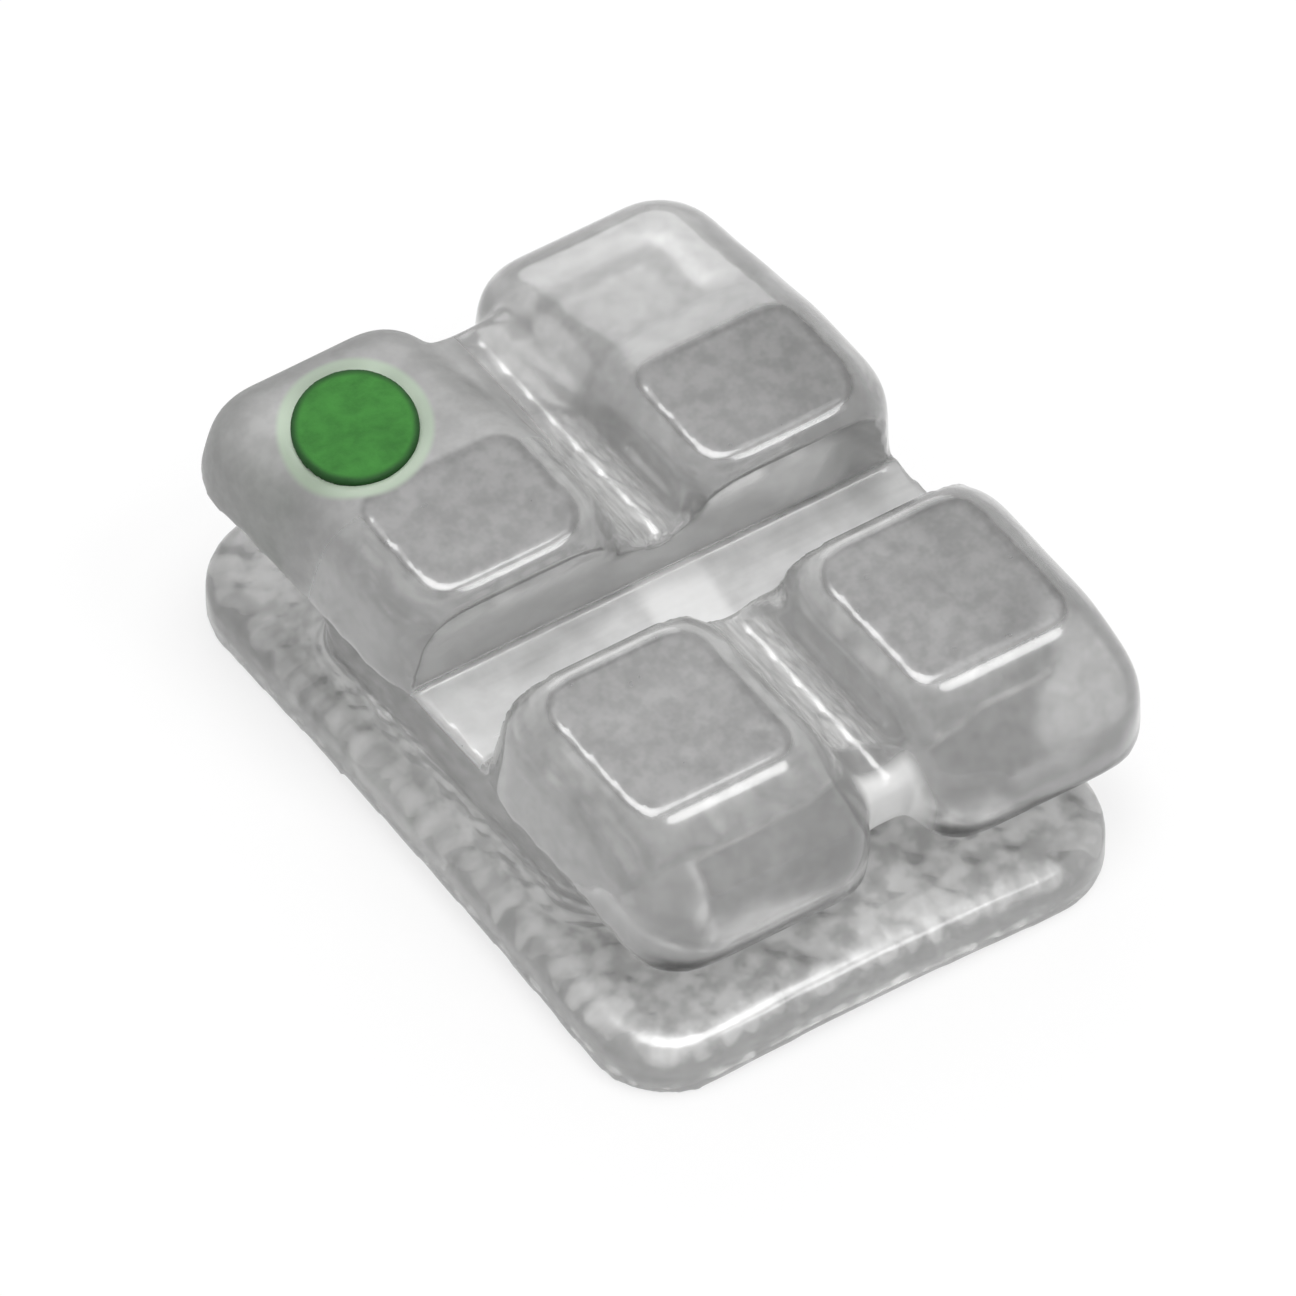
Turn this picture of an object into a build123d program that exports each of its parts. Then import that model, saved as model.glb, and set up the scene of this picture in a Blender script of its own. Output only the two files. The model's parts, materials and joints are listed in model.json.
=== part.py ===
import os
from math import atan2, cos, radians, sin, tan

from build123d import *

os.makedirs("parts", exist_ok=True)

# Archwire slot in the common 0.022 by 0.028 inch size, and how it sits over the pad.
# X runs along the slot, +Y points to the gum side, +Z points away from the tooth.
slot_width = 0.559
slot_depth = 0.711
slot_floor_height = 0.98
slot_shift_across = 0.19
slot_shift_along = -0.06
torque_angle = 8.0

# Bonding pad, curved both ways to follow the crown of a front tooth
pad_width = 3.16
pad_length = 4.4
pad_lean = 4.5
pad_corner_radius = 0.5
pad_thickness = 0.32
pad_edge_radius = 0.1
tooth_radius_across = 14.0
tooth_radius_along = 20.0
corner_land = 0.04

# Body with its four tie wings, the gum side pair reaching further than the edge side pair
body_width = 3.28
gum_reach = 2.24
edge_reach = 1.92
wing_lean = 9.0
wing_narrowing = 0.12
gum_ridge_reach = 1.03
edge_ridge_reach = 1.34
facet_trim = 0.02
tip_height = 0.36
tip_drop = 0.11
undercut_rise = 0.08
rim_radius = 0.33
ridge_radius = 0.55
tip_corner_radius = 0.42
slot_corner_radius = 0.4
tip_inner_radius = 0.34
lip_bevel = 0.08
mouth_overlap = 0.12
section_margin = 0.1
neck_inset = 0.12
neck_length = 2.5
neck_shift = 0.14
neck_foot_width = 2.5
neck_foot_length = 2.6
neck_corner_radius = 0.3
neck_fillet = 0.1

# Channel between the left and right wings, and the notch that parts their tips
channel_width = 0.28
channel_depth = 0.37
channel_radius = 0.16
notch_depth = 0.3
bridge_radius = 0.14
bridge_fall = 0.1

# Paint mark on the gum side wing that points away from the middle of the mouth
dot_width = 0.7
dot_length = 0.88
dot_turn = -22.5
dot_seat_depth = 0.035
dot_thickness = 0.05
dot_clearance = 0.004
dot_edge_radius = 0.014
dot_reach = 1.57
dot_shift_out = 0.06

torque = radians(torque_angle)
slot_origin = Vector(slot_shift_across, slot_shift_along, slot_floor_height)
slot_plane = Plane(slot_origin, (1, 0, 0), (0, -sin(torque), cos(torque)))
section_plane = Plane(slot_origin, (0, cos(torque), sin(torque)), (1, 0, 0))
channel_run = slot_plane.x_dir * -tan(radians(wing_lean)) + slot_plane.y_dir
channel_plane = Plane(slot_origin, slot_plane.z_dir.cross(channel_run), channel_run)
facet_height = slot_depth + facet_trim
channel_floor = slot_depth - channel_depth
channel_top = channel_floor + channel_radius
wing_middle = (channel_width + body_width) / 4


def leaning(x, y, lean):
    # Sides lean with the long axis of the tooth while the slot stays square to X
    return (x - tan(radians(lean)) * y, y)


def leaning_corners(width, back, front, lean):
    return [
        leaning(-width / 2, -front, lean),
        leaning(width / 2, -front, lean),
        leaning(width / 2, back, lean),
        leaning(-width / 2, back, lean),
    ]


def tooth_form(offset):
    # Barrel of the tooth surface, or of a surface parallel to it
    across = tooth_radius_across + offset
    along = tooth_radius_along + offset
    apex = pad_apex + offset
    reach = pad_length
    fall = along - (along**2 - reach**2) ** 0.5
    with BuildPart() as barrel:
        with BuildSketch(Plane.YZ):
            with BuildLine():
                ThreePointArc((-reach, apex - fall), (0, apex), (reach, apex - fall))
                Polyline(
                    (reach, apex - fall),
                    (reach, apex - across),
                    (-reach, apex - across),
                    (-reach, apex - fall),
                )
            make_face()
        revolve(axis=Axis((0, 0, apex - across), (0, 1, 0)))
    return barrel.part


def wing_reach(end):
    return gum_reach if end > 0 else edge_reach


def ridge_reach(end):
    return gum_ridge_reach if end > 0 else edge_ridge_reach


def wing_slope(end):
    return atan2(facet_height - tip_height, wing_reach(end) - ridge_reach(end))


def wing_outline(side, end, narrowing):
    # Plan of one tie wing. It starts inside the slot, so that the slot cuts through its rounded rim.
    near = end * (slot_width / 2 - mouth_overlap)
    far = end * wing_reach(end)
    inner = side * channel_width / 2
    outer = side * (body_width / 2 - narrowing)
    square = [(inner, near), (outer, near), (outer, far), (inner, far)]
    corners = [leaning(x, y, wing_lean) for x, y in square]
    radii = [slot_corner_radius, slot_corner_radius, tip_corner_radius, tip_inner_radius]
    with BuildSketch() as plan:
        with BuildLine():
            Polyline(*corners, close=True)
        make_face()
        for corner, radius in zip(corners, radii):
            fillet(plan.vertices().sort_by_distance(corner)[0], radius)
    return plan.sketch


def tie_wing(side, end):
    # The loft runs past the section at the top and the bottom, so that no two faces coincide
    far = end * wing_reach(end)
    past = far + end * lip_bevel
    ridge = end * ridge_reach(end)
    neck = end * neck_length / 2 + neck_shift
    fall = lip_bevel * tan(wing_slope(end))
    with BuildPart() as wing:
        with BuildSketch(slot_plane.offset(-tip_drop - section_margin)):
            add(wing_outline(side, end, 0))
        with BuildSketch(slot_plane.offset(facet_height + section_margin)):
            add(wing_outline(side, end, wing_narrowing))
        loft()
        with BuildSketch(section_plane) as section:
            with BuildLine():
                Polyline(
                    (0, facet_height),
                    (ridge, facet_height),
                    (past, tip_height - fall),
                    (past, 2 * lip_bevel - tip_drop),
                    (far - end * lip_bevel, -tip_drop),
                    (neck, undercut_rise - tip_drop),
                    (0, undercut_rise - tip_drop),
                    close=True,
                )
            make_face()
            fillet(section.vertices().sort_by_distance((ridge, facet_height))[0], ridge_radius)
        extrude(amount=2 * body_width, both=True, mode=Mode.INTERSECT)
        tops = wing.faces().filter_by(lambda face: face.normal_at().dot(slot_plane.z_dir) > 0.4)
        rim = [edge for edge in wing.edges() if sum(edge in top.edges() for top in tops) == 1]
        fillet(rim, rim_radius)
        split(bisect_by=slot_plane.offset(slot_depth), keep=Keep.BOTTOM)
    return wing.part


# Seat of the paint mark, square to the slope of its wing
dot_tilt = wing_slope(1) - torque
dot_height = facet_height - (dot_reach - gum_ridge_reach) * tan(wing_slope(1))
dot_across = leaning(-wing_middle - dot_shift_out, dot_reach, wing_lean)[0]
dot_origin = slot_plane.from_local_coords((dot_across, dot_reach, dot_height))
dot_plane = Plane(dot_origin, (1, 0, 0), (0, sin(dot_tilt), cos(dot_tilt)))
seat_plane = dot_plane.offset(-dot_seat_depth)
dot_axis = Axis(dot_origin, dot_plane.z_dir)

# The pad stands on flat lands at its corners, so its middle is lifted by the fall of the tooth form there
corner_back = pad_length / 2 - pad_corner_radius * (1 - cos(radians(45)))
corner_side = pad_width / 2 - pad_corner_radius * (1 - cos(radians(45)))
corner_side += corner_back * tan(radians(pad_lean))
corner_radius = tooth_radius_across - tooth_radius_along + (tooth_radius_along**2 - corner_back**2) ** 0.5
pad_apex = tooth_radius_across - (corner_radius**2 - corner_side**2) ** 0.5 - corner_land
pad_top = pad_apex + pad_thickness

with BuildPart() as pad:
    with BuildSketch(Plane.XY):
        with BuildLine():
            FilletPolyline(
                *leaning_corners(pad_width, pad_length / 2, pad_length / 2, pad_lean),
                radius=pad_corner_radius,
                close=True,
            )
        make_face()
    extrude(amount=2 * pad_thickness + pad_apex)
    add(tooth_form(pad_thickness), mode=Mode.INTERSECT)
    fillet(pad.faces().sort_by(Axis.Z)[-1].edges(), pad_edge_radius)

with BuildPart() as bracket_body:
    add(pad.part)
    with BuildSketch(Plane.XY.offset(pad_apex)):
        with BuildLine():
            FilletPolyline(
                *leaning_corners(neck_foot_width, neck_foot_length / 2, neck_foot_length / 2, pad_lean),
                radius=neck_corner_radius,
                close=True,
            )
        make_face()
    with BuildSketch(slot_plane):
        with BuildLine():
            FilletPolyline(
                *leaning_corners(
                    body_width - 2 * neck_inset,
                    neck_length / 2 + neck_shift,
                    neck_length / 2 - neck_shift,
                    wing_lean,
                ),
                radius=neck_corner_radius,
                close=True,
            )
        make_face()
    loft()
    feet = bracket_body.edges(Select.LAST).filter_by(lambda edge: edge.center().Z < pad_top)
    fillet(feet, neck_fillet)
    for end in (-1, 1):
        mouth = end * slot_width / 2
        stop = end * (wing_reach(end) - notch_depth)
        ridge = end * ridge_reach(end)
        rounded = [(mouth, channel_top), (stop, channel_top - bridge_fall), (stop, -tip_drop)]
        with BuildSketch(section_plane) as bridge:
            with BuildLine():
                Polyline((mouth, -tip_drop), rounded[0], (ridge, channel_top), *rounded[1:], close=True)
            make_face()
            for corner in rounded:
                fillet(bridge.vertices().sort_by_distance(corner)[0], bridge_radius)
        extrude(amount=wing_middle, both=True)
        for side in (-1, 1):
            add(tie_wing(side, end))
    with BuildSketch(channel_plane):
        with Locations((0, channel_top)):
            Circle(channel_radius)
    extrude(amount=2 * gum_reach, both=True, mode=Mode.SUBTRACT)
    with BuildSketch(slot_plane):
        Rectangle(2 * body_width, slot_width)
    extrude(amount=2 * slot_depth, mode=Mode.SUBTRACT)
    add(tooth_form(0), mode=Mode.SUBTRACT)
    with BuildSketch(seat_plane):
        Ellipse(dot_width / 2, dot_length / 2, rotation=dot_turn)
    extrude(amount=dot_width, mode=Mode.SUBTRACT)

with BuildPart() as orientation_dot:
    with BuildSketch(seat_plane):
        Ellipse(dot_width / 2 - dot_clearance, dot_length / 2 - dot_clearance, rotation=dot_turn)
    extrude(amount=dot_thickness)
    fillet(orientation_dot.faces().sort_by(dot_axis)[-1].edges(), dot_edge_radius)

bracket_body.part.label = "bracket_body"
export_step(bracket_body.part, "parts/bracket_body.step")
orientation_dot.part.label = "orientation_dot"
export_step(orientation_dot.part, "parts/orientation_dot.step")
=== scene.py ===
import json
from math import cos, radians, sin, tan

import bpy
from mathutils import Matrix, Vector

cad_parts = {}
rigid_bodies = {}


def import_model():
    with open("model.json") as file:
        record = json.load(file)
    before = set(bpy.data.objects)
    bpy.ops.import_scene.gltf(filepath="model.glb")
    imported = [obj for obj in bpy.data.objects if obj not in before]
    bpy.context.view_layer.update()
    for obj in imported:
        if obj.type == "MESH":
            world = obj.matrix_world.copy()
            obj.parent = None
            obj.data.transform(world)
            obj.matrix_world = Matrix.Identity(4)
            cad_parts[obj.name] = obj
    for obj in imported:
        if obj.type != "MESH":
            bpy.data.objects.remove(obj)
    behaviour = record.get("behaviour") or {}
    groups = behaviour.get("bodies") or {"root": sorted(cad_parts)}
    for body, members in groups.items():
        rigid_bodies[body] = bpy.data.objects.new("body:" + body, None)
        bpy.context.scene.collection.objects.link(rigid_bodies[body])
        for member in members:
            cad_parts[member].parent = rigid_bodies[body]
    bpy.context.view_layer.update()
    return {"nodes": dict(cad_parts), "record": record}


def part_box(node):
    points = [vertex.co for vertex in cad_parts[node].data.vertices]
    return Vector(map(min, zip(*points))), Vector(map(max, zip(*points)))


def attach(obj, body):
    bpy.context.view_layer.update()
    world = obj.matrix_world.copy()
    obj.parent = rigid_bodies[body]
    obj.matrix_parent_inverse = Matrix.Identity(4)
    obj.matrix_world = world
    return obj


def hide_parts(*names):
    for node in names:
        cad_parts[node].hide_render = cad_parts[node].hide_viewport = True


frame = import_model()
print("frame loaded:", ", ".join(frame["nodes"]))

# the pieces' settings are in millimetres, and the frame, the studio and the camera in metres
millimetre = 0.001

# the archwire slot's own axes, for everything that is placed by them
slotMount = next(mount for mount in frame["record"]["mounts"] if mount["name"] == "archwire_slot")
slotAt = Vector(slotMount["pos_m"]) / millimetre
slotTilt = radians(8)
wingLean = radians(9)


def inSlot(y, z):
    # along the wings from the slot's middle, and height over its floor
    y, z = y - slotAt.y, z - slotAt.z
    return y * cos(slotTilt) + z * sin(slotTilt), z * cos(slotTilt) - y * sin(slotTilt)


def pick(piece):
    bpy.ops.object.select_all(action="DESELECT")
    piece.select_set(True)
    bpy.context.view_layer.objects.active = piece


def enlargedCopy(nodeName, pieceName, weldDistance=0.0004):
    # voxels can't be finer than a tenth of a millimetre, so the work is done a thousand times larger
    piece = bpy.data.objects.new(pieceName, frame["nodes"][nodeName].data.copy())
    bpy.context.scene.collection.objects.link(piece)
    pick(piece)
    piece.data.name = pieceName
    piece.data.materials.clear()
    piece.scale = (1 / millimetre,) * 3
    bpy.ops.object.transform_apply(location=False, rotation=False, scale=True)
    bpy.ops.object.mode_set(mode="EDIT")
    bpy.ops.mesh.select_all(action="SELECT")
    bpy.ops.mesh.remove_doubles(threshold=weldDistance)
    bpy.ops.object.mode_set(mode="OBJECT")
    return piece


def backToSize(piece):
    pick(piece)
    piece.scale = (millimetre,) * 3
    bpy.ops.object.transform_apply(location=False, rotation=False, scale=True)
    bpy.ops.object.shade_smooth()


def finishWith(piece, kind, **settings):
    pick(piece)
    modifier = piece.modifiers.new(kind.lower(), kind)
    for name, value in settings.items():
        setattr(modifier, name, value)
    bpy.ops.object.modifier_apply(modifier=modifier.name)


def intoVoxels(piece, size):
    finishWith(piece, "REMESH", mode="VOXEL", voxel_size=size)


def evenOut(piece, passes, group=""):
    finishWith(piece, "SMOOTH", factor=0.5, iterations=passes, vertex_group=group)


def newGroup(piece, name, indices):
    piece.vertex_groups.new(name=name).add(indices, 1, "REPLACE")


class Wire:
    # an output socket of a material, with Python's operators as Math nodes
    def __init__(self, tree, socket=None):
        self.tree = tree
        self.socket = socket

    def node(self, kind, settings=None, inputs=None, out=0):
        made = self.tree.nodes.new(kind)
        for name, value in (settings or {}).items():
            setattr(made, name, value)
        for name, value in (inputs or {}).items():
            if isinstance(value, Wire):
                self.tree.links.new(value.socket, made.inputs[name])
            else:
                made.inputs[name].default_value = value
        return Wire(self.tree, made.outputs[out])

    def maths(self, operation, *others):
        return self.node("ShaderNodeMath", {"operation": operation}, dict(enumerate((self, *others))))

    def __add__(self, other):
        return self.maths("ADD", other)

    def __radd__(self, other):
        return self.maths("ADD", other)

    def __sub__(self, other):
        return self.maths("SUBTRACT", other)

    def __rsub__(self, other):
        return self.node("ShaderNodeMath", {"operation": "SUBTRACT"}, {0: other, 1: self})

    def __mul__(self, other):
        return self.maths("MULTIPLY", other)

    def __rmul__(self, other):
        return self.maths("MULTIPLY", other)

    def __abs__(self):
        return self.maths("ABSOLUTE")

    def above(self, edge, soft):
        # 0 below the edge, 1 above it, blended over the soft width
        return self.node(
            "ShaderNodeMapRange",
            {"interpolation_type": "SMOOTHSTEP"},
            {"Value": self, "From Min": edge - soft / 2, "From Max": edge + soft / 2},
        )

    def below(self, edge, soft):
        return 1 - self.above(edge, soft)

    def tinted(self, low, high):
        # colour that goes from low to high as this value goes from 0 to 1
        low, high = (end if isinstance(end, Wire) else (*end, 1) for end in (low, high))
        return self.node("ShaderNodeMix", {"data_type": "RGBA"}, {0: self, 6: low, 7: high}, out=2)


def newFinish(name):
    material = bpy.data.materials.new(name)
    material.use_nodes = True
    tree = material.node_tree
    return material, Wire(tree), tree.nodes["Principled BSDF"]


def feed(wire, shader, socketName):
    wire.tree.links.new(wire.socket, shader.inputs[socketName])


def feedSurface(wire):
    feed(wire, wire.tree.nodes["Material Output"], "Surface")


def inMillimetres(board):
    place = board.node("ShaderNodeTexCoord", out="Object")
    return board.node("ShaderNodeVectorMath", {"operation": "SCALE"}, {0: place, "Scale": 1 / millimetre})


def axesOf(place):
    return [place.node("ShaderNodeSeparateXYZ", None, {0: place}, out=axis) for axis in "XYZ"]


def noise(place, scale, detail, roughness=0.5):
    sockets = {"Vector": place, "Scale": scale, "Detail": detail, "Roughness": roughness}
    return place.node("ShaderNodeTexNoise", None, sockets)


def bump(height, strength, depth):
    sockets = {"Strength": strength, "Distance": depth * millimetre, "Height": height}
    return height.node("ShaderNodeBump", None, sockets)


# Paint mark

paint = {
    "width": 0.7,
    "length": 0.88,
    "turn": radians(-22.5),
    "slope": radians(9),
    "voxel": 0.012,
    "smoothing": 4,
    "green": (0.022, 0.135, 0.017),
    "paleGreen": (0.045, 0.215, 0.035),
    "rimGreen": (0.012, 0.06, 0.012),
    "blotch": {"scale": 7, "detail": 4, "roughness": 0.6},
    "paleAbove": (0.5, 0.5),
    "rimAbove": (0.97, 0.12),
    "rimWander": 0.12,
    "roughness": 0.5,
    "blotchRoughness": 0.2,
    "specular": 0.2,
    "bumpStrength": 0.4,
    "bumpDepth": 0.02,
}
markLow, markHigh = (Vector(corner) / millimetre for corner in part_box("orientation_dot"))
markMiddle = (markLow + markHigh) / 2


def markReach(x, y):
    # 0 in the middle of the paint mark, 1 along its rim
    turn = paint["turn"]
    aside = x - markMiddle.x
    along = (y - markMiddle.y) * (1 / cos(paint["slope"]))
    short = (aside * cos(turn) + along * sin(turn)) * (2 / paint["width"])
    long = (along * cos(turn) - aside * sin(turn)) * (2 / paint["length"])
    return (short * short + long * long).maths("SQRT")


def paintFinish():
    material, board, shader = newFinish("greenMarkingPaint")
    place = inMillimetres(board)
    x, y = axesOf(place)[:2]
    blotch = noise(place, **paint["blotch"])
    green = blotch.above(*paint["paleAbove"]).tinted(paint["green"], paint["paleGreen"])
    rim = (markReach(x, y) + blotch * paint["rimWander"]).above(*paint["rimAbove"])
    feed(rim.tinted(green, paint["rimGreen"]), shader, "Base Color")
    feed(paint["roughness"] + blotch * paint["blotchRoughness"], shader, "Roughness")
    feed(bump(blotch, paint["bumpStrength"], paint["bumpDepth"]), shader, "Normal")
    shader.inputs["Specular IOR Level"].default_value = paint["specular"]
    return material


def paintMark():
    mark = enlargedCopy("orientation_dot", "paint_mark")
    intoVoxels(mark, paint["voxel"])
    evenOut(mark, paint["smoothing"])
    backToSize(mark)
    mark.data.materials.append(paintFinish())
    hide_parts("orientation_dot")
    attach(mark, "root")
    print("paint mark:", len(mark.data.polygons), "faces")


# Crystal body

crystal = {
    # a level is the upward part of a face's direction
    "form": {
        "voxel": 0.028,
        "edgeSoftening": 3,
        "roundSmoothing": 18,
        "seamSmoothing": 1,
        "rimSmoothing": 5,
        "slotReach": 0.29,
        "slotBottom": -0.06,
        "facetBottom": 0.695,
        "facetLevel": 0.99,
        "padRimTop": 0.36,
        "padRimLevel": 0.3,
        "padWidth": 3.16,
        "padLength": 4.4,
        "padLean": radians(4.5),
        "bondMargin": 0.12,
        "bondTop": 0.45,
        "bondLevel": -0.9,
        "beadPitch": 0.14,
        "beadHeight": 0.06,
        "grooveFront": -1.66,
        "grooveBack": 1.98,
        "grooveEndFade": 0.15,
        "grooveBottom": -0.15,
        "grooveTop": 0.09,
        "grooveTopFade": 0.05,
        "grooveLevel": 0.5,
        "grooveLevelFade": 0.2,
    },
    # edge of each zone and the width it blends over
    "zones": {
        "facetBottom": (0.70, 0.012),
        "crossingSide": (0.2, 0.08),
        "slotLeftEnd": (-1.25, 0.25),
        "slotFloorTop": (0.04, 0.04),
        "slotFloorSide": (0.275, 0.02),
        "slotFloorBottom": (-0.05, 0.02),
        "flangeTop": (0.55, 0.1),
        "flangeFrontLit": (-1.6, 0.7),
        "flangeEdge": (-2.0, 0.1),
        "channelSide": (0.22, 0.1),
        "channelBottom": (0.2, 0.1),
        "channelTop": (0.62, 0.1),
        "webEndSide": (0.16, 0.08),
        "webEndBack": (-1.5, 0.12),
        "webEndBottom": (-0.2, 0.05),
        "dulledSide": (-0.1, 0.2),
        "dulledFront": (1.05, 0.15),
        "dulledBottom": (-0.05, 0.3),
        "haloInside": (0.98, 0.05),
        "haloOutside": (1.2, 0.12),
        "haloBottom": (-0.2, 0.1),
        "mottleAbove": (0.5, 0.4),
        "pitsAbove": (0.5, 0.22),
        "glintAbove": (0.63, 0.06),
    },
    "tints": {
        "moulded": (0.47, 0.47, 0.465),
        "facet": (0.15, 0.148, 0.148),
        "pit": (0.3, 0.3, 0.297),
        # near black under the wing tips: painted shade
        "bond": (1.0, 1.0, 0.995),
        # lighter in the channel: painted light against the shade in the channel
        "channel": (0.7, 0.7, 0.695),
        # lifted near white on the slot floor: painted light against the slot's shade
        "slotFloor": (0.95, 0.95, 0.945),
        # white at the slot floor's left end: painted light
        "slotEndLight": (1.0, 1.0, 0.995),
        "flange": (0.46, 0.46, 0.455),
        # lighter front of the flange: painted light
        "flangeFrontLit": (0.73, 0.73, 0.725),
        "mottleLight": (1, 1, 1),
        "mottleDark": (0.1, 0.1, 0.1),
        # white of the painted glints
        "paintedGlint": (0.95, 0.95, 0.945),
        "undercutShade": (0.004, 0.004, 0.004),
        "halo": (0.6, 0.8, 0.56),
        # white of the painted highlight and the painted pool of light
        "litPatch": (1.0, 1.0, 0.995),
    },
    "finish": {
        "grain": {"scale": 9, "detail": 2, "roughness": 0.6},
        "speck": {"scale": 7.5, "detail": 3, "roughness": 0.6},
        "streakStretch": (2.2, 26, 26),
        "groundShare": 0.6,
        "groundStreaks": 0.5,
        "mottle": 0.13,
        "flangeMottleLoss": 0.05,
        "edgeGlintShift": 0.06,
        "paintedGlint": 0.1,
        "edgePaintedGlint": 0.5,
        "polish": 0.18,
        "facetRoughness": 0.26,
        "grainRoughness": 0.05,
        "streakRoughness": 0.35,
        "bondRoughness": 0.15,
        "flangeRoughness": 0.08,
        "dulledRoughness": 0.24,
        "bumpStrength": 0.3,
        "bumpDepth": 0.004,
        "transmission": 0.8,
        "refraction": 1.76,
        "coat": 0.6,
        "coatRoughness": 0.05,
        "channelCoatLoss": 0.9,
        "flangeCoatLoss": 0.7,
        "dulledCoatLoss": 0.9,
        "webEndLitPatch": 0.6,
        "crossingLitPatch": 0.5,
    },
}


def carried(board, name):
    # value that the mesh carries at each of its vertices
    return board.node("ShaderNodeAttribute", {"attribute_name": name}, None, out="Fac")


def crystalFinish():
    zones, tints, finish = crystal["zones"], crystal["tints"], crystal["finish"]
    material, board, shader = newFinish("groundCrystal")
    place = inMillimetres(board)
    x, y, z = axesOf(place)
    along, height = inSlot(y, z)
    across = x - slotAt.x
    aside = across + along * tan(wingLean)
    reach = markReach(x, y)

    facet = height.above(*zones["facetBottom"])
    crossing = abs(across).below(*zones["crossingSide"])
    slotEndLight = across.below(*zones["slotLeftEnd"])
    slotFloor = height.below(*zones["slotFloorTop"]) * abs(along).below(*zones["slotFloorSide"])
    slotFloor = slotFloor * height.above(*zones["slotFloorBottom"])
    bond = carried(board, "bondFace")
    undercutShade = carried(board, "tieGrooveShade")
    flange = z.below(*zones["flangeTop"]) * (1 - bond)
    flangeFrontLit = y.below(*zones["flangeFrontLit"])
    flangeEdge = y.below(*zones["flangeEdge"])
    channel = abs(aside).below(*zones["channelSide"]) * height.above(*zones["channelBottom"])
    channel = channel * height.below(*zones["channelTop"])
    webEnd = abs(aside).below(*zones["webEndSide"]) * along.below(*zones["webEndBack"])
    webEnd = webEnd * height.above(*zones["webEndBottom"])
    dulled = aside.below(*zones["dulledSide"]) * along.above(*zones["dulledFront"])
    dulled = dulled * height.above(*zones["dulledBottom"])
    halo = reach.above(*zones["haloInside"]) * reach.below(*zones["haloOutside"])
    halo = halo * (z - markMiddle.z).above(*zones["haloBottom"])

    grain = noise(place, **finish["grain"])
    speck = noise(place, **finish["speck"])
    stretch = {0: place, 1: finish["streakStretch"]}
    streak = noise(board.node("ShaderNodeVectorMath", {"operation": "MULTIPLY"}, stretch), scale=1, detail=1)
    mottle = grain.above(*zones["mottleAbove"])
    pits = speck.above(*zones["pitsAbove"])
    paintedGlint = (speck + flangeEdge * finish["edgeGlintShift"]).above(*zones["glintAbove"])

    tint = facet.tinted(tints["moulded"], tints["facet"])
    tint = bond.tinted(tint, pits.tinted(tints["pit"], tints["bond"]))
    # the channel is tinted lighter: painted light against its shade
    tint = channel.tinted(tint, tints["channel"])
    # the slot floor's streaks are its ground finish, and its lifted tint is painted light
    groundAndLitFloor = slotFloor * (finish["groundShare"] + streak * finish["groundStreaks"])
    tint = groundAndLitFloor.tinted(tint, tints["slotFloor"])
    # painted light at the slot floor's left end
    tint = (slotFloor * slotEndLight).tinted(tint, tints["slotEndLight"])
    # the front of the flange is lighter: painted light
    tint = flange.tinted(tint, flangeFrontLit.tinted(tints["flange"], tints["flangeFrontLit"]))
    depth = finish["mottle"] - flange * finish["flangeMottleLoss"]
    tint = (mottle * depth).tinted(tint, tints["mottleLight"])
    tint = ((1 - mottle) * depth).tinted(tint, tints["mottleDark"])
    # painted glints on the flange, more of them along its front edge
    paintedGlint = flange * paintedGlint * (finish["paintedGlint"] + flangeEdge * finish["edgePaintedGlint"])
    tint = paintedGlint.tinted(tint, tints["paintedGlint"])
    # the faces under the wing tips go near black: painted shade
    tint = undercutShade.tinted(tint, tints["undercutShade"])
    feed(halo.tinted(tint, tints["halo"]), shader, "Base Color")

    rough = finish["polish"] + grain * finish["grainRoughness"]
    rough = rough + facet * (finish["facetRoughness"] - finish["polish"])
    rough = rough + slotFloor * streak * finish["streakRoughness"] + bond * finish["bondRoughness"]
    rough = rough + flange * speck * finish["flangeRoughness"] + dulled * finish["dulledRoughness"]
    feed(rough, shader, "Roughness")
    feed(bump(grain, finish["bumpStrength"], finish["bumpDepth"]), shader, "Normal")

    coated = 1 - channel * finish["channelCoatLoss"] - flange * finish["flangeCoatLoss"]
    coated = coated - dulled * finish["dulledCoatLoss"]
    feed(coated * finish["coat"], shader, "Coat Weight")
    shader.inputs["Coat Roughness"].default_value = finish["coatRoughness"]
    shader.inputs["Transmission Weight"].default_value = finish["transmission"]
    shader.inputs["IOR"].default_value = finish["refraction"]

    # white matt patches at the end of the web and where the channel crosses the slot: a painted highlight
    # and a painted pool of light
    litPatch = board.node("ShaderNodeBsdfDiffuse", None, {"Color": (*tints["litPatch"], 1)})
    litPatchShare = webEnd * finish["webEndLitPatch"] + slotFloor * crossing * finish["crossingLitPatch"]
    clear = Wire(board.tree, shader.outputs[0])
    feedSurface(board.node("ShaderNodeMixShader", None, {0: litPatchShare, 1: clear, 2: litPatch}))
    return material


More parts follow.
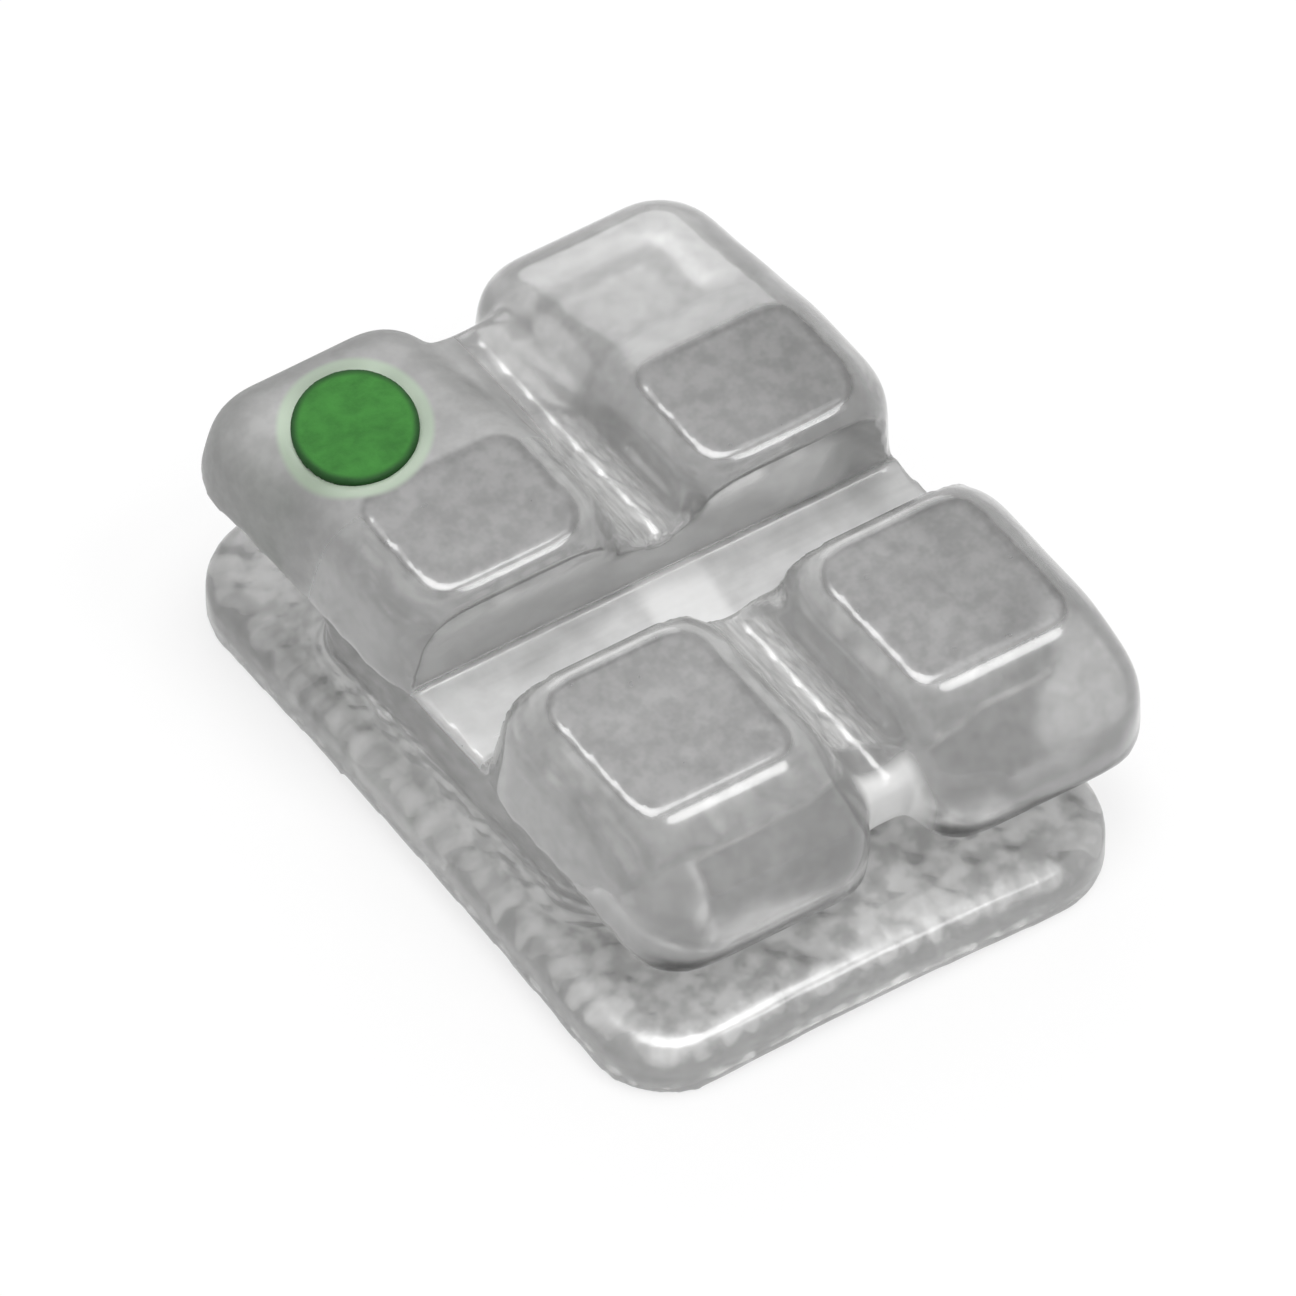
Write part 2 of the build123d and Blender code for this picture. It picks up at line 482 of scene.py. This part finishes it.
def smoothRounds(body):
    # the ground flats stay flat while the moulded rounds between them are evened out
    form = crystal["form"]
    flats, rounds, rim = [], [], []
    for v in body.data.vertices:
        along, height = inSlot(v.co.y, v.co.z)
        level = v.normal.z * cos(slotTilt) - v.normal.y * sin(slotTilt)
        onSlot = abs(along) < form["slotReach"] and height > form["slotBottom"]
        onFacet = height > form["facetBottom"] and level > form["facetLevel"]
        onPadRim = v.co.z < form["padRimTop"] and v.normal.z < form["padRimLevel"]
        (flats if onSlot or onFacet or onPadRim else rounds).append(v.index)
        if onPadRim:
            rim.append(v.index)
    newGroup(body, "rounds", rounds)
    newGroup(body, "flats", flats)
    newGroup(body, "padRim", rim)
    evenOut(body, form["roundSmoothing"], "rounds")
    pattern = enlargedCopy("bracket_body", "pattern")
    finishWith(body, "SHRINKWRAP", target=pattern, wrap_method="NEAREST_SURFACEPOINT", vertex_group="flats")
    bpy.data.objects.remove(pattern)
    evenOut(body, form["seamSmoothing"])
    evenOut(body, form["rimSmoothing"], "padRim")


def beadUnderside(body):
    # beads for the adhesive on the underside, which stays plain in a narrow margin along its edge
    form = crystal["form"]
    halfWidth = form["padWidth"] / 2 - form["bondMargin"]
    halfLength = form["padLength"] / 2 - form["bondMargin"]
    bondFace = []
    for v in body.data.vertices:
        facesTooth = v.normal.z < form["bondLevel"] and v.co.z < form["bondTop"]
        aside = v.co.x + tan(form["padLean"]) * v.co.y
        if facesTooth and abs(aside) < halfWidth and abs(v.co.y) < halfLength:
            bondFace.append(v.index)
    newGroup(body, "underside", bondFace)
    beads = bpy.data.textures.new("beads", "VORONOI")
    beads.noise_scale = form["beadPitch"]
    finishWith(
        body,
        "DISPLACE",
        texture=beads,
        texture_coords="LOCAL",
        vertex_group="underside",
        strength=-form["beadHeight"],
        mid_level=0,
    )
    body.vertex_groups.clear()  # they have done their work
    bond = body.data.attributes.new("bondFace", "FLOAT", "POINT")
    for index in bondFace:
        bond.data[index].value = 1


def fade(past, width):
    return min(1, max(0, past) / width)


def markGrooveShade(body):
    # grooves that the ligatures lie in: whatever faces down under the ends of the wings, marked for painted
    # shade
    form = crystal["form"]
    undercutShade = body.data.attributes.new("tieGrooveShade", "FLOAT", "POINT")
    for v in body.data.vertices:
        along, height = inSlot(v.co.y, v.co.z)
        if height > form["grooveBottom"]:
            past = max(form["grooveFront"] - along, along - form["grooveBack"])
            facingDown = fade(form["grooveLevel"] - v.normal.z, form["grooveLevelFade"])
            under = fade(form["grooveTop"] - height, form["grooveTopFade"])
            undercutShade.data[v.index].value = facingDown * under * fade(past, form["grooveEndFade"])


def crystalBody():
    body = enlargedCopy("bracket_body", "crystal_body")
    intoVoxels(body, crystal["form"]["voxel"])
    evenOut(body, crystal["form"]["edgeSoftening"])
    smoothRounds(body)
    beadUnderside(body)
    markGrooveShade(body)
    backToSize(body)
    body.data.materials.append(crystalFinish())
    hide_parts("bracket_body")
    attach(body, "root")
    print("crystal body:", len(body.data.polygons), "faces")


# Floor, light and camera

studio = {
    "floorSize": 0.4,
    "floorColour": (0.9, 0.9, 0.9),
    "floorGlow": 0.75,
    "ambient": 0.6,
    "lampDistance": 0.1,
    "lamps": [
        {"name": "overhead", "towards": (0.09, 0.03, 1.0), "radius": 0.023, "power": 0.045},
        {"name": "behind", "towards": (0.31, 0.8, 0.52), "radius": 0.03, "power": 0.013},
        {"name": "front", "towards": (0.32, -0.36, 0.87), "radius": 0.014, "power": 0.013},
    ],
}

shot = {
    "azimuth": -31.2,
    "elevation": 53.0,
    "pixelsPerMillimetre": 187.0,
    "slotPixel": (690.2, 610.6),
    "framePixels": 1296,
    "distance": 0.15,
    "sensor": 36,
    "clip": (0.001, 10),
}


def seenDirectly(board):
    # 1 for what the camera sees, straight or through the crystal and in its reflections
    rays = board.node("ShaderNodeLightPath").socket.node.outputs
    straight, mirrored, through = (
        Wire(board.tree, rays[name]) for name in ("Is Camera Ray", "Is Glossy Ray", "Is Transmission Ray")
    )
    return (straight + mirrored + through).maths("MINIMUM", 1)


def paperFinish():
    material, board, shader = newFinish("whitePaper")
    board.tree.nodes.remove(shader)
    matt = board.node("ShaderNodeBsdfDiffuse", None, {"Color": (*studio["floorColour"], 1)})
    glow = board.node("ShaderNodeEmission", None, {"Color": (1, 1, 1, 1), "Strength": 1})
    glowing = seenDirectly(board) * studio["floorGlow"]
    feedSurface(board.node("ShaderNodeMixShader", None, {0: glowing, 1: matt, 2: glow}))
    return material


def layFloor():
    bpy.ops.object.select_all(action="DESELECT")
    bpy.ops.mesh.primitive_plane_add(size=studio["floorSize"])
    floor = bpy.context.active_object
    floor.name = "floor"
    floor.data.materials.append(paperFinish())


def lightRoom():
    world = bpy.data.worlds.new("studio")
    world.use_nodes = True
    bpy.context.scene.world = world
    sky = world.node_tree.nodes["Background"]
    sky.inputs["Color"].default_value = (1, 1, 1, 1)
    seen = seenDirectly(Wire(world.node_tree))
    feed(studio["ambient"] + seen * (1 - studio["ambient"]), sky, "Strength")


def roundLamp(name, towards, radius, power):
    light = bpy.data.lights.new(name, "AREA")
    light.shape = "DISK"
    light.size = 2 * radius
    light.energy = power
    lamp = bpy.data.objects.new(name, light)
    bpy.context.scene.collection.objects.link(lamp)
    aim = Vector(towards).normalized()
    lamp.location = aim * studio["lampDistance"]
    lamp.rotation_euler = aim.to_track_quat("Z", "Y").to_euler()


def placeCamera():
    # the slot's middle comes out on its pixel of the photo's frame
    turn = radians(shot["azimuth"])
    rise = radians(shot["elevation"])
    back = Vector((sin(turn) * cos(rise), -cos(turn) * cos(rise), sin(rise)))
    right = Vector((cos(turn), sin(turn), 0))
    up = back.cross(right)
    half = shot["framePixels"] / 2
    aside, below = ((half - pixel) / shot["pixelsPerMillimetre"] for pixel in shot["slotPixel"])
    target = (slotAt + right * aside - up * below) * millimetre
    seenWidth = shot["framePixels"] / shot["pixelsPerMillimetre"] * millimetre
    optics = bpy.data.cameras.new("camera")
    optics.sensor_width = shot["sensor"]
    optics.lens = shot["sensor"] * shot["distance"] / seenWidth
    optics.clip_start, optics.clip_end = shot["clip"]
    camera = bpy.data.objects.new("camera", optics)
    camera.location = target + back * shot["distance"]
    camera.rotation_euler = back.to_track_quat("Z", "Y").to_euler()
    bpy.context.scene.collection.objects.link(camera)
    bpy.context.scene.camera = camera


crystalBody()
paintMark()
layFloor()
lightRoom()
for lampSettings in studio["lamps"]:
    roundLamp(**lampSettings)
placeCamera()
bpy.context.scene.view_settings.view_transform = "Standard"
print("floor, light and camera set")
